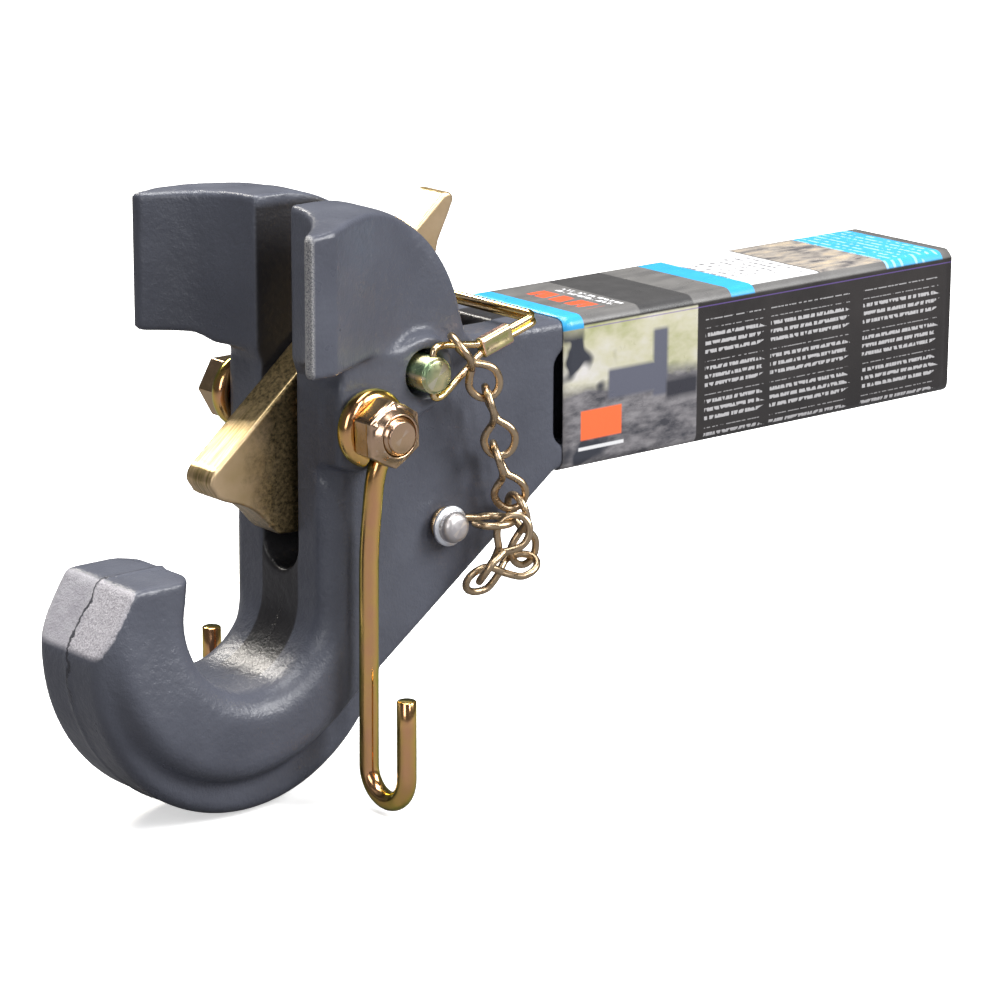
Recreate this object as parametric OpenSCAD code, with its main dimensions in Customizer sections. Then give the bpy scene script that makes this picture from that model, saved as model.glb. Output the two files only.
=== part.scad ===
// Receiver-mount pintle hook with a swinging latch, a lock pin on a tether chain
// and two safety-chain hangers. Millimetres, +Z up.
// The origin is the centre of the hitch-pin bore through the receiver shank.
// +X runs along the shank towards the vehicle, so the hook's mouth faces -X.

/* [Receiver shank] */
// Outer width and height of the square shank
shank_w = 50.8; // [50:0.1:51]
// Rounding of the shank's long edges
shank_edge_r = 3.5; // [2:0.5:5]
// Length of shank behind the hitch-pin bore
shank_rear = 64; // [55:1:80]
// Radius of the hitch-pin bore
hitch_bore_r = 8.3; // [8.1:0.05:8.5]
// Depth of each side pocket
pocket_depth = 12; // [8:1:15]

/* [Hook] */
// Distance from the hitch-pin bore to the throat's vertical wall
throat_reach = 217.3; // [210:0.1:225]
// Radius of the throat
throat_r = 24; // [22:0.5:26]
// Radius of the hook's full-width body, below the rim groove
body_r = 51; // [49:0.5:53]
// Radius of the hook's outer rim
rim_r = 58; // [56:0.5:60]
// Half width of the outer rim
rim_half = 17; // [14:0.5:19]
// Height of the horn's tip
tip_z = -38; // [-40:0.5:-36]

/* [Head] */
// Full width across the two cupped lips
head_w = 93.4; // [88:0.2:98]
// Radius of the cupped front face
cup_r = 60; // [56:1:66]
// Top of the head
head_top = 71.6; // [68:0.1:74]
// Underside of the head
head_bottom = 26.5; // [24:0.5:28]
// Width of the slot that the latch swings in
slot_w = 18; // [17:0.5:19]

/* [Latch and pivot] */
// Thickness of the latch plate
latch_t = 14; // [12:0.5:15]
// Radius of the pivot bolt
bolt_r = 6.35; // [6.2:0.05:6.4]
// Across-flats size of the nut and of the bolt's head
hex_af = 19.05; // [18.5:0.05:19.2]
// Radius of the lock pin
pin_r = 6.35; // [6.2:0.05:6.4]
// Distance from the middle to the near pivot boss's face
near_boss = 31.6; // [31:0.1:32]
// Distance from the middle to the far pivot boss's face
far_boss = 28.1; // [28:0.1:29]

/* [Hangers and tether] */
// Radius of the hanger's rod
rod_r = 3.175; // [3:0.05:3.3]
// Spacing between the hanger's two legs
hanger_gap = 19; // [18:0.5:20]
// Radius of the lock pin's spring wire
wire_r = 1; // [0.9:0.05:1.1]
// Radius of the tether chain's wire
link_wire_r = 1.4; // [1.3:0.05:1.4]
// Radius of each chain loop, to the middle of its wire
loop_r = 6.4; // [6.3:0.05:6.4]

/* [Card sleeve] */
// Thickness of the card
card_t = 0.5; // [0.4:0.1:0.8]
// Front edge of the sleeve, ahead of the hitch-pin bore
sleeve_front = 120; // [110:1:121]
// Rear edge of the sleeve, behind the hitch-pin bore
sleeve_rear = 62.7; // [55:0.1:63]

/* [Hidden] */
$fn = 64;
big = 200;

shank_half = shank_w / 2;
head_half = head_w / 2;
slot_half = slot_w / 2;

// The latch pivot, the lock pin and the tether rivet, as [x, z]
pivot = [-207.1, 4.6];
pin = [-182.4, 18.7];
rivet = [-169, -35.2];

// Throat, full-width body and outer rim, each an arc about its own centre
throat_c = [-throat_reach - throat_r, -55];
body_c = [-246, -56];
rim_c = [-242, -62];

// Back of the head, from its flat top down to the shank
back_c = [-211, 24.6];
back_r = 47;
back_fillet_r = 12;

// Running and clearance gaps
pivot_gap = 0.07;
bore_gap = 0.3;
side_gap = 0.3;

// Hanger: its eye lies on the boss and its stem steps in towards the shank
eye_r = bolt_r + pivot_gap + rod_r;
near_eye_y = near_boss + side_gap + rod_r;
far_eye_y = far_boss + side_gap + rod_r;
near_stem_y = 32.4;
far_stem_y = 31.4;
bend_z = -107;
tip_leg_top = -80.8;

// Bolt and nut
nut_y = near_eye_y + rod_r + side_gap;
head_y = far_eye_y + rod_r + side_gap;
hex_r = hex_af / 2 / cos(30);
bolt_head_h = 8;
nut_h = 11.1;
bolt_tip = 51;

// Lock pin ends, its cross hole and the play of its slot in the latch
pin_near = -38;
pin_far = 41;
cross_y = -34.8;
cross_r = wire_r + 0.08;
pin_slot_angle = 14;

// Sprung wire bail, in the plane of the lock pin's cross hole, as [x, z]
bail_rise = [cos(16.6), sin(16.6)];
bail_join = [-162, 24];
bail_corner = [-139.5, 30.7];
bail_pitch = wire_r + 0.06;
bail_far_y = 38.6;
bail_loop_r = pin_r + wire_r + 0.45;

// Tether rivet and washer
rivet_shank_r = 3;
washer_t = 1.2;
washer_r = 6.7;
end_loop_r = rivet_shank_r + 0.2 + link_wire_r;
washer_y = shank_half + 2 * link_wire_r + 0.6;

// Chain links as they hang: middle, then bearing, rise and roll in degrees
LINKS = [
    [[-168.9, -38.8, 19.7], -10, -54, 11],
    [[-159.3, -38.2, -0.2], 11, -69, 41],
    [[-152.5, -35, -20.1], 10, -65, 42],
    [[-144.5, -33.7, -39.6], 16, -75, 20],
    [[-152.6, -33.5, -52.7], 164, -14, -26],
    [[-155.8, -37.6, -43.5], -34, 56, -12]];

// Turns an outline drawn in X and Z into a slab between two values of Y
module slab(y0, y1) {
    rotate([90, 0, 0])
        translate([0, 0, -y1])
            linear_extrude(y1 - y0)
                children();
}

// A rod along Y between two values of Y, standing at [x, z]
module cross_rod(at, r, y0, y1) {
    translate([at[0], y1, at[1]])
        rotate([90, 0, 0])
            cylinder(r = r, h = y1 - y0);
}

// A straight piece of round wire between two points
module wire(a, b, r) {
    d = b - a;
    flat = norm([d[0], d[1]]);
    translate(a)
        rotate([0, atan2(flat, d[2]), atan2(d[1], d[0])])
            cylinder(r = r, h = norm(d));
}

// Wire through a list of points, with a slightly fuller ball at each bend
module wire_path(points, r, ball_r) {
    for (i = [0 : len(points) - 2])
        wire(points[i], points[i + 1], r);
    for (i = [1 : len(points) - 2])
        translate(points[i])
            sphere(r = ball_r);
}

// A loop of round wire whose axis is Z
module loop(major, r, start = 0, turn = 360) {
    rotate_extrude(angle = turn, start = start)
        translate([major, 0])
            circle(r = r);
}

// Square outline with round corners
module rounded_square(half, r) {
    square([2 * half, 2 * (half - r)], center = true);
    square([2 * (half - r), 2 * half], center = true);
    for (x = [-1, 1])
        for (y = [-1, 1])
            translate([x * (half - r), y * (half - r)])
                circle(r = r);
}

// Side outline of the neck, the web below the shank and the head's round back
module web_outline() {
    wall_x = -throat_reach;
    polygon([[wall_x, head_top], [back_c[0], head_top], [back_c[0], back_c[1]],
        [-150, shank_half], [-121.4, shank_half], [-121.4, -shank_half],
        [-180.8, -68.6], [-203.6, -85.5], [wall_x, -90]]);
    intersection() {
        translate(back_c)
            circle(r = back_r);
        translate([wall_x, shank_half - 5])
            square([big, big]);
    }
    // concave fillet where the round back meets the shank
    difference() {
        translate([-172, shank_half - 2])
            square([18, back_fillet_r - 2]);
        translate([-153.5, shank_half + back_fillet_r])
            circle(r = back_fillet_r);
    }
}

// Everything above the horn and ahead of the throat's wall
module mouth_outline() {
    translate(throat_c)
        circle(r = throat_r);
    polygon([[-throat_reach, throat_c[1]], [-throat_reach, big], [-big * 2, big],
        [-big * 2, tip_z], [throat_c[0] - throat_r + 2, tip_z],
        [throat_c[0] - throat_r, throat_c[1]]]);
    // worn facet on the front of the horn
    polygon([[-286, tip_z + 1], [-300.6, -60], [-big * 2, -60], [-big * 2, tip_z + 1]]);
}

module hook_outline(c, r) {
    difference() {
        translate(c)
            circle(r = r);
        mouth_outline();
        translate([-190, -big])
            square([big, big * 2]);
    }
}

// Width of the horn seen from the front: narrow at its tip, full at its foot
module horn_front() {
    tip_half = 19;
    rotate([90, 0, 90])
        translate([0, 0, -big * 2])
            linear_extrude(big * 2 - throat_reach - 6)
                polygon([[-tip_half, tip_z + 5], [tip_half, tip_z + 5], [shank_half, -84],
                    [shank_half, -big], [-shank_half, -big], [-shank_half, -84]]);
}

// Cupped head seen from above, tapering back into the cheeks
module head_plan() {
    lip_x = -238.9;
    difference() {
        polygon([[lip_x, -head_half], [-230, -head_half], [-204, -33], [-184, -shank_half],
            [-160, -shank_half], [-160, shank_half], [-184, shank_half], [-204, 33],
            [-230, head_half], [lip_x, head_half]]);
        translate([-throat_reach - cup_r, 0])
            circle(r = cup_r);
    }
}

module head_block() {
    intersection() {
        translate([0, 0, head_bottom])
            linear_extrude(head_top - head_bottom)
                head_plan();
        slab(-head_half, head_half)
            union() {
                translate([-big * 1.5, 0])
                    square([big * 1.5 + back_c[0], head_top]);
                intersection() {
                    translate(back_c)
                        circle(r = back_r);
                    translate([back_c[0], shank_half])
                        square([back_r, back_r]);
                }
            }
    }
}

// Raised boss that carries the pivot bolt and the lock pin on both cheeks
module boss_outline() {
    front_x = -216.5;
    intersection() {
        translate(pivot)
            circle(r = 15);
        translate([front_x, -big])
            square([big, big * 2]);
    }
    translate(pin)
        circle(r = 12);
    polygon([[front_x, head_bottom + 1], [front_x, -6], [pivot[0], -9], [pivot[0] + 8, -7],
        [pin[0] + 6, pin[1] - 10], [pin[0] + 2, pin[1] + 11.5]]);
}

// Slot through the head and neck, with the room that the latch sweeps behind its pivot
module latch_slot() {
    slot_end_z = -38;
    front_x = -238;
    slab(-slot_half, slot_half)
        polygon([[front_x, slot_end_z], [-200, slot_end_z], [-165, -25], [-141, 8],
            [-137, shank_half], [-137, big], [front_x, big]]);
    translate([front_x, 0, slot_end_z])
        rotate([0, 90, 0])
            cylinder(r = slot_half, h = -200 - front_x);
}

module hook_casting() {
    color("slategray")
        difference() {
            union() {
                slab(-shank_half, shank_half)
                    web_outline();
                translate([-130, 0, 0])
                    rotate([90, 0, 90])
                        linear_extrude(130 + shank_rear)
                            rounded_square(shank_half, shank_edge_r);
                intersection() {
                    slab(-shank_half, shank_half)
                        hook_outline(body_c, body_r);
                    union() {
                        horn_front();
                        translate([-throat_reach - 6, -shank_half, -big])
                            cube([big, shank_w, big * 2]);
                    }
                }
                slab(-rim_half, rim_half)
                    hook_outline(rim_c, rim_r);
                head_block();
                slab(-near_boss, far_boss)
                    boss_outline();
            }
            slab(-shank_half - 1, shank_half + 1)
                intersection() {
                    mouth_outline();
                    translate([-big * 2, -big])
                        square([big * 2, big + head_bottom - 2]);
                }
            latch_slot();
            cross_rod(pivot, bolt_r + bore_gap, -big, big);
            cross_rod(pin, pin_r + bore_gap + 0.05, -big, big);
            cross_rod([0, 0], hitch_bore_r, -big, big);
            cross_rod(rivet, rivet_shank_r, -big, -shank_half + 14);
            for (side = [-1, 1])
                translate([-122.8, side * shank_half - pocket_depth, -17.5])
                    cube([60, 2 * pocket_depth, 33]);
        }
}

// Slotted hole for the lock pin, along the chord of its swing about the pivot
module pin_slot() {
    play = pin_r + bore_gap + 0.05;
    arm = norm(pin - pivot);
    lean = atan2(pin[1] - pivot[1], pin[0] - pivot[0]);
    travel = 2 * arm * sin(pin_slot_angle / 2);
    translate(pin)
        rotate(lean + 90 + pin_slot_angle / 2) {
            circle(r = play);
            translate([travel, 0])
                circle(r = play);
            translate([0, -play])
                square([travel, 2 * play]);
        }
}

module latch() {
    nose = [-245, -12.4];
    prong = [-154.4, 65];
    notch = [-246.3, -44.9];
    half = latch_t / 2;
    color("darkkhaki")
        difference() {
            union() {
                slab(-half, half)
                    polygon([[-247.3, -9], [-216, 17.3], [-155.6, 66.9], [-152.2, 64.4],
                        [-153.4, 62], [-157, 54], [-158.9, 46.2], [-160, 34], [-161, 20],
                        [-164, 8], [-186, -14], [-202, -32], [-212, -34], [-222, -33.5],
                        [-246.5, -17.5], [-248.9, -13]]);
                cross_rod(nose, 4, -half, half);
                cross_rod(prong, 2.3, -half, half);
            }
            cross_rod(notch, 25.2, -latch_t, latch_t);
            cross_rod(pivot, bolt_r + pivot_gap, -latch_t, latch_t);
            slab(-latch_t, latch_t)
                pin_slot();
        }
}

module pivot_bolt() {
    color("burlywood") {
        cross_rod(pivot, bolt_r, -bolt_tip, head_y + 1);
        translate([pivot[0], head_y + bolt_head_h, pivot[1]])
            rotate([90, 0, 0])
                intersection() {
                    cylinder(r = hex_r, h = bolt_head_h, $fn = 6);
                    cylinder(r1 = hex_r - 1.2, r2 = hex_r + 4, h = bolt_head_h);
                }
    }
}

module pivot_nut() {
    crown_h = 2.6;
    color("burlywood")
        translate([pivot[0], -nut_y, pivot[1]])
            rotate([90, 0, 0])
                difference() {
                    union() {
                        intersection() {
                            cylinder(r = hex_r, h = nut_h - crown_h, $fn = 6);
                            cylinder(r1 = hex_r + 4, r2 = hex_r - 0.7, h = nut_h - crown_h);
                        }
                        cylinder(r1 = hex_af / 2 - 0.3, r2 = bolt_r + 1.6, h = nut_h);
                    }
                    translate([0, 0, -1])
                        cylinder(r = bolt_r, h = nut_h + 2);
                }
}

// J-shaped hanger on the near side: an eye round the bolt, a stem and an upturned leg
module chain_hanger(eye_y, stem_y, leg_gap) {
    eye = [pivot[0], -eye_y, pivot[1]];
    bend_top = [pivot[0] + 1.4, -eye_y, pivot[1] - 15];
    bend_foot = [pivot[0], -stem_y, pivot[1] - 26];
    color("goldenrod") {
        translate(eye)
            rotate([90, 0, 0])
                loop(eye_r, rod_r, -52, 304);
        wire_path([eye + eye_r * [cos(52), 0, -sin(52)], bend_top, bend_foot,
            [pivot[0], -stem_y, bend_z]], rod_r, rod_r + 0.06);
        translate(eye + eye_r * [cos(52), 0, -sin(52)])
            sphere(r = rod_r + 0.1);
        translate([pivot[0], -stem_y - leg_gap / 2, bend_z])
            rotate([90, 0, 90])
                loop(leg_gap / 2, rod_r, 180, 180);
        wire([pivot[0], -stem_y - leg_gap, bend_z],
            [pivot[0], -stem_y - leg_gap, tip_leg_top], rod_r);
    }
}

module chain_hanger_near() {
    chain_hanger(near_eye_y, near_stem_y, hanger_gap);
}

module chain_hanger_far() {
    mirror([0, 1, 0])
        chain_hanger(far_eye_y, far_stem_y, hanger_gap + near_stem_y - far_stem_y);
}

module lock_pin() {
    chamfer = 0.9;
    color("goldenrod")
        difference() {
            union() {
                cross_rod(pin, pin_r, pin_near + chamfer, pin_far - chamfer);
                cross_rod(pin, pin_r - chamfer, pin_near, pin_far);
            }
            translate([pin[0], cross_y, pin[1] - big / 2])
                cylinder(r = cross_r, h = big);
        }
}

// Points of one of the bail's two wires: side is 1 for the upper wire, -1 for the lower
function bail_points(side) =
    let (shift = side * bail_pitch * [-bail_rise[1], bail_rise[0]],
        join = bail_join + shift,
        corner = bail_corner + shift)
    [[pin[0], cross_y, pin[1] + side * 1.2],
        [pin[0], cross_y, pin[1] + side * (8.6 - side * 0.5)],
        [pin[0] + 3, cross_y, pin[1] + side * (9.2 - side * 0.7)],
        [join[0], cross_y, join[1]],
        [corner[0], cross_y, corner[1]],
        [corner[0], bail_far_y, corner[1]]];

// One thin wire, octagonal in section, bent into a clip with a loop round the pin's far end
module pin_bail() {
    far_loop = [for (a = [75 : 30 : 285])
        [pin[0] + bail_loop_r * cos(a), bail_far_y, pin[1] + bail_loop_r * sin(a)]];
    lower = bail_points(-1);
    lower_back = [for (i = [len(lower) - 1 : -1 : 0]) lower[i]];
    path = concat(bail_points(1), far_loop, lower_back);
    color("goldenrod")
        for (i = [0 : len(path) - 2])
            hull()
                for (end = [path[i], path[i + 1]])
                    translate(end)
                        sphere(r = wire_r, $fn = 8);
}

module bail_ferrule() {
    ferrule = [13, 4, 6.4];
    middle = bail_join + 7.5 * bail_rise;
    color("darkkhaki")
        translate([middle[0], cross_y, middle[1]])
            rotate([0, -16.6, 0])
                difference() {
                    cube(ferrule, center = true);
                    for (side = [-1, 1])
                        translate([-big / 2, 0, side * bail_pitch])
                            rotate([0, 90, 0])
                                cylinder(r = wire_r + 0.02, h = big);
                }
}

// Single-jack chain link: two loops at right angles that meet in its middle
module chain_link(n) {
    place = LINKS[n - 1];
    color("tan")
        translate(place[0])
            rotate([0, 0, place[1]])
                rotate([0, -place[2], 0])
                    rotate([place[3], 0, 0]) {
                        translate([-loop_r, 0, 0])
                            loop(loop_r, link_wire_r);
                        translate([loop_r, 0, 0])
                            rotate([90, 0, 0])
                                loop(loop_r, link_wire_r);
                    }
}

// Last link: a small loop under the washer, a straight neck and a level loop clear of the rivet
module chain_end_link() {
    loop_y = -shank_half - 0.3 - link_wire_r;
    ring_edge = [rivet[0] + end_loop_r, loop_y, rivet[1]];
    level = ring_edge + [10, -loop_r, 0];
    color("tan") {
        translate([rivet[0], loop_y, rivet[1]])
            rotate([90, 0, 0])
                loop(end_loop_r, link_wire_r);
        wire(ring_edge, level + loop_r * [cos(116), sin(116), 0], link_wire_r - 0.1);
        translate(level)
            loop(loop_r, link_wire_r);
    }
}

module tether_rivet() {
    head_h = 5.4;
    dome_h = 2;
    color("lightgray") {
        cross_rod(rivet, rivet_shank_r, -washer_y - washer_t - 1, -shank_half + 13);
        cross_rod(rivet, 5, -washer_y - washer_t - head_h + dome_h, -washer_y - washer_t);
        translate([rivet[0], -washer_y - washer_t - head_h + dome_h, rivet[1]])
            rotate([90, 0, 0])
                cylinder(r1 = 5, r2 = 3.1, h = dome_h);
    }
}

module tether_washer() {
    color("white")
        difference() {
            cross_rod(rivet, washer_r, -washer_y - washer_t, -washer_y);
            cross_rod(rivet, rivet_shank_r + 0.1, -washer_y - washer_t - 1, -washer_y + 1);
        }
}

module card_sleeve() {
    inner = shank_half + 0.1;
    color("dimgray")
        translate([-sleeve_front, 0, 0])
            rotate([90, 0, 90])
                linear_extrude(sleeve_front + sleeve_rear)
                    difference() {
                        rounded_square(inner + card_t, shank_edge_r + card_t);
                        rounded_square(inner, shank_edge_r);
                    }
}

hook_casting();
latch();
pivot_bolt();
pivot_nut();
chain_hanger_near();
chain_hanger_far();
lock_pin();
pin_bail();
bail_ferrule();
chain_link(1);  // chain_link_1
chain_link(2);  // chain_link_2
chain_link(3);  // chain_link_3
chain_link(4);  // chain_link_4
chain_link(5);  // chain_link_5
chain_link(6);  // chain_link_6
chain_end_link();
tether_rivet();
tether_washer();
card_sleeve();
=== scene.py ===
"""Looks of the receiver-mount pintle hook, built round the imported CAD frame.

Shapes are worked out in millimetres and turned into metres when a mesh is made.
The solid castings and forgings are signed-distance shapes turned into meshes, the
wires are tubes swept along smooth paths, and the turned parts are lathed.
"""
import math

import bpy
import numpy as np
from mathutils import Matrix, Vector


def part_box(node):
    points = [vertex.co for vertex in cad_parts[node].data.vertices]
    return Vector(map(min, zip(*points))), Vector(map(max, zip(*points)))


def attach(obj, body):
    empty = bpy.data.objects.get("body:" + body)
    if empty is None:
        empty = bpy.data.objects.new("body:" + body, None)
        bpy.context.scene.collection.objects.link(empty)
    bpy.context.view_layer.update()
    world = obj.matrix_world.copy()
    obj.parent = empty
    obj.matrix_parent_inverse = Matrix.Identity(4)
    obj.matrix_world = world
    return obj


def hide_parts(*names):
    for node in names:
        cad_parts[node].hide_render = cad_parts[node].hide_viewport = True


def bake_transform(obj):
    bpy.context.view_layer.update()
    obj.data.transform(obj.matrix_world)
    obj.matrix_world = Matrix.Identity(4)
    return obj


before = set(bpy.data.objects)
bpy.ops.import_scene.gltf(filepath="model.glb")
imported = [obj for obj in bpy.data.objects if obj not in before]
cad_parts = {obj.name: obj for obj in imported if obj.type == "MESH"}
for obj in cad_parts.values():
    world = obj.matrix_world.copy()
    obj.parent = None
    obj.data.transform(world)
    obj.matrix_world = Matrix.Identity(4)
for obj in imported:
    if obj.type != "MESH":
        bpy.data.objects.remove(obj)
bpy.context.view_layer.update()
MM = 0.001

HOOK, LATCH, PIN, BAIL = "hook_body", "latch_body", "lock_pin_body", "bail_body"
NEAR, FAR, SLEEVE = "near_hanger_body", "far_hanger_body", "sleeve_body"


def cad_box_mm(node):
    """Lowest and highest corner of a CAD node, in millimetres."""
    low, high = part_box(node)
    return np.array(low) / MM, np.array(high) / MM


def cad_middle(node):
    low, high = cad_box_mm(node)
    return (low + high) / 2


# ---- camera first
CAMERA_AT = (-0.9578, -0.9948, 0.3090)
CAMERA_RIGHT = (0.7675, -0.6411, 0.0040)
CAMERA_UP = (0.1636, 0.2018, 0.9657)


def add_camera():
    data = bpy.data.cameras.new("camera")
    data.lens = 144
    data.sensor_width = 36
    data.clip_start = 0.05
    camera = bpy.data.objects.new("camera", data)
    bpy.context.scene.collection.objects.link(camera)
    right = Vector(CAMERA_RIGHT).normalized()
    back = right.cross(Vector(CAMERA_UP)).normalized()
    up = back.cross(right)
    turn = Matrix((right, up, back)).transposed().to_4x4()
    camera.matrix_world = Matrix.Translation(CAMERA_AT) @ turn
    bpy.context.scene.camera = camera


add_camera()

# ---- named places and sizes
NUT_LOW, NUT_HIGH = cad_box_mm("pivot_nut")
BOLT_LOW, BOLT_HIGH = cad_box_mm("pivot_bolt")
PIN_LOW, PIN_HIGH = cad_box_mm("lock_pin")
WASHER_LOW, WASHER_HIGH = cad_box_mm("tether_washer")
RIVET_LOW = cad_box_mm("tether_rivet")[0]
SLEEVE_LOW, SLEEVE_HIGH = cad_box_mm("card_sleeve")
CAST_LOW, CAST_HIGH = cad_box_mm("hook_casting")
LATCH_LOW, LATCH_HIGH = cad_box_mm("latch")

# in X and Z; the pin and the rivet sit a little off their CAD places
PIVOT = cad_middle("pivot_nut")[[0, 2]]
PIN_AT = cad_middle("lock_pin")[[0, 2]] + (0.3, -0.7)
RIVET_AT = cad_middle("tether_washer")[[0, 2]] + (-1.5, 0.4)
PIN_R = 6.0
BOLT_R = 6.35
NEAR_BOSS, FAR_BOSS = 31.5, 28.0
SHANK_HALF = 25.4
SLOT_HALF, SLOT_FOOT = 9, -38
WALL_X = -217.3
THROAT_R = 24
THROAT_C = (WALL_X - THROAT_R, -55)
BODY_C, BODY_R = (-246, -56), 51
RIM_C, RIM_R = (-242, -62), 58
BACK_C, BACK_R = (-211, 24.6), 47
TIP_Z = -38
HEAD_LOW, HEAD_TOP = 26.5, 73.2
HEAD_CROWN = 1.6
HEAD_HALF = 47.4
LIP_X = -239.7
CUP_R = 53.5
FACET_A, FACET_B = (-286, TIP_Z + 1), (-300.6, -60)


# ---- signed-distance helpers
def smooth_min(a, b, k):
    h = np.clip(0.5 + 0.5 * (b - a) / k, 0, 1)
    return b * (1 - h) + a * h - k * h * (1 - h)


def smooth_max(a, b, k):
    return -smooth_min(-a, -b, k)


def round_both(a, b, r):
    """Where two shapes overlap, with their shared edge rounded to radius r."""
    p, q = a + r, b + r
    return np.minimum(np.maximum(p, q), 0) + np.hypot(np.maximum(p, 0), np.maximum(q, 0)) - r


def circle(u, v, middle, r):
    return np.hypot(u - middle[0], v - middle[1]) - r


def polygon(u, v, points):
    """Signed distance to a closed outline, negative inside."""
    best = np.full(np.broadcast(u, v).shape, np.inf, np.float32)
    inside = np.zeros(best.shape, bool)
    for (ax, ay), (bx, by) in zip(points, points[1:] + points[:1]):
        ex, ey = bx - ax, by - ay
        wx, wy = u - ax, v - ay
        t = np.clip((wx * ex + wy * ey) / (ex * ex + ey * ey), 0, 1)
        best = np.minimum(best, np.hypot(wx - ex * t, wy - ey * t))
        if ey:
            inside ^= ((ay <= v) != (by <= v)) & (wx < (v - ay) * ex / ey)
    return np.where(inside, -best, best)


def ramp(x, start, end):
    """Rises smoothly from 0 at start to 1 at end."""
    t = np.clip((x - start) / (end - start), 0, 1)
    return t * t * (3 - 2 * t)


def grid(low, high, step):
    """The three axes of a block of sample points, shaped so that they combine into one."""
    axes = [np.arange(a, b + step, step, dtype=np.float32) for a, b in zip(low, high)]
    return (axes[0][:, None, None], axes[1][None, :, None], axes[2][None, None, :])


def surface(field, low, step):
    """Surface nets: vertices and quads of the zero level of a sampled distance field."""
    d = np.asarray(field, np.float32)
    cells = tuple(n - 1 for n in d.shape)
    inside = d < 0
    count = np.zeros(cells, np.int8)
    for i in (0, 1):
        for j in (0, 1):
            for k in (0, 1):
                count += inside[i : i + cells[0], j : j + cells[1], k : k + cells[2]]
    mixed = (count > 0) & (count < 8)
    number = np.full(cells, -1, np.int64)
    ci, cj, ck = np.nonzero(mixed)
    number[ci, cj, ck] = np.arange(len(ci))
    total = np.zeros((len(ci), 3), np.float32)
    hits = np.zeros(len(ci), np.float32)
    for axis in range(3):
        others = [n for n in range(3) if n != axis]
        for p in (0, 1):
            for q in (0, 1):
                start = [0, 0, 0]
                start[others[0]], start[others[1]] = p, q
                end = list(start)
                end[axis] = 1
                a = d[ci + start[0], cj + start[1], ck + start[2]]
                b = d[ci + end[0], cj + end[1], ck + end[2]]
                cut = (a < 0) != (b < 0)
                t = np.where(cut, a / np.where(cut, a - b, 1), 0)
                for n in range(3):
                    place = start[n] + (t if n == axis else 0)
                    total[:, n] += np.where(cut, place, 0)
                hits += cut
    points = np.stack([ci, cj, ck], 1) + total / hits[:, None]
    quads = []
    for axis in range(3):
        o1, o2 = [(1, 2), (2, 0), (0, 1)][axis]
        lower = [slice(None)] * 3
        upper = [slice(None)] * 3
        lower[axis], upper[axis] = slice(0, -1), slice(1, None)
        for n in (o1, o2):
            lower[n] = upper[n] = slice(1, -1)
        a, b = inside[tuple(lower)], inside[tuple(upper)]
        at = np.array(np.nonzero(a != b)).T
        at[:, o1] += 1
        at[:, o2] += 1
        leaving = inside[at[:, 0], at[:, 1], at[:, 2]]
        ring = []
        for s, t in ((1, 1), (0, 1), (0, 0), (1, 0)):
            corner = at.copy()
            corner[:, o1] -= s
            corner[:, o2] -= t
            ring.append(number[corner[:, 0], corner[:, 1], corner[:, 2]])
        ring = np.stack(ring, 1)
        quads.append(np.where(leaving[:, None], ring, ring[:, ::-1]))
    return points * step + np.array(low), np.concatenate(quads)


# ---- mesh makers
def place(name, mesh):
    """A smooth-shaded object in the scene."""
    obj = bpy.data.objects.new(name, mesh)
    bpy.context.scene.collection.objects.link(obj)
    mesh.polygons.foreach_set("use_smooth", [True] * len(mesh.polygons))
    return obj


def new_object(name, points, faces, body, node, material):
    """A visible piece that rides a body and replaces a CAD node."""
    obj = place(name, mesh_of(name, points, faces))
    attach(obj, body)
    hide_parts(node)
    obj.data.materials.append(material)
    return obj


def settle(obj, times):
    """Relax the steps that the sample grid leaves on a surface."""
    smooth = obj.modifiers.new("settle", "SMOOTH")
    smooth.factor = 0.5
    smooth.iterations = times


def mesh_of(name, points, faces):
    """A mesh in metres, from points in millimetres."""
    mesh = bpy.data.meshes.new(name)
    if isinstance(faces, np.ndarray):
        mesh.vertices.add(len(points))
        mesh.vertices.foreach_set("co", (np.asarray(points) * MM).astype(np.float32).ravel())
        mesh.loops.add(faces.size)
        mesh.loops.foreach_set("vertex_index", faces.astype(np.int32).ravel())
        mesh.polygons.add(len(faces))
        mesh.polygons.foreach_set(
            "loop_start", np.arange(0, faces.size, faces.shape[1], dtype=np.int32)
        )
        mesh.update(calc_edges=True)
    else:
        mesh.from_pydata([tuple(float(c) * MM for c in p) for p in points], [], faces)
    mesh.validate()
    return mesh


def skin(rings, sides, closed=False):
    """Faces between rings of points, with a cap at each end unless the rings close up."""
    faces = []
    for i in range(rings if closed else rings - 1):
        j = (i + 1) % rings
        for k in range(sides):
            m = (k + 1) % sides
            faces.append((i * sides + k, i * sides + m, j * sides + m, j * sides + k))
    if not closed:
        faces.append(tuple(range(sides))[::-1])
        faces.append(tuple((rings - 1) * sides + k for k in range(sides)))
    return faces


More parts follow.
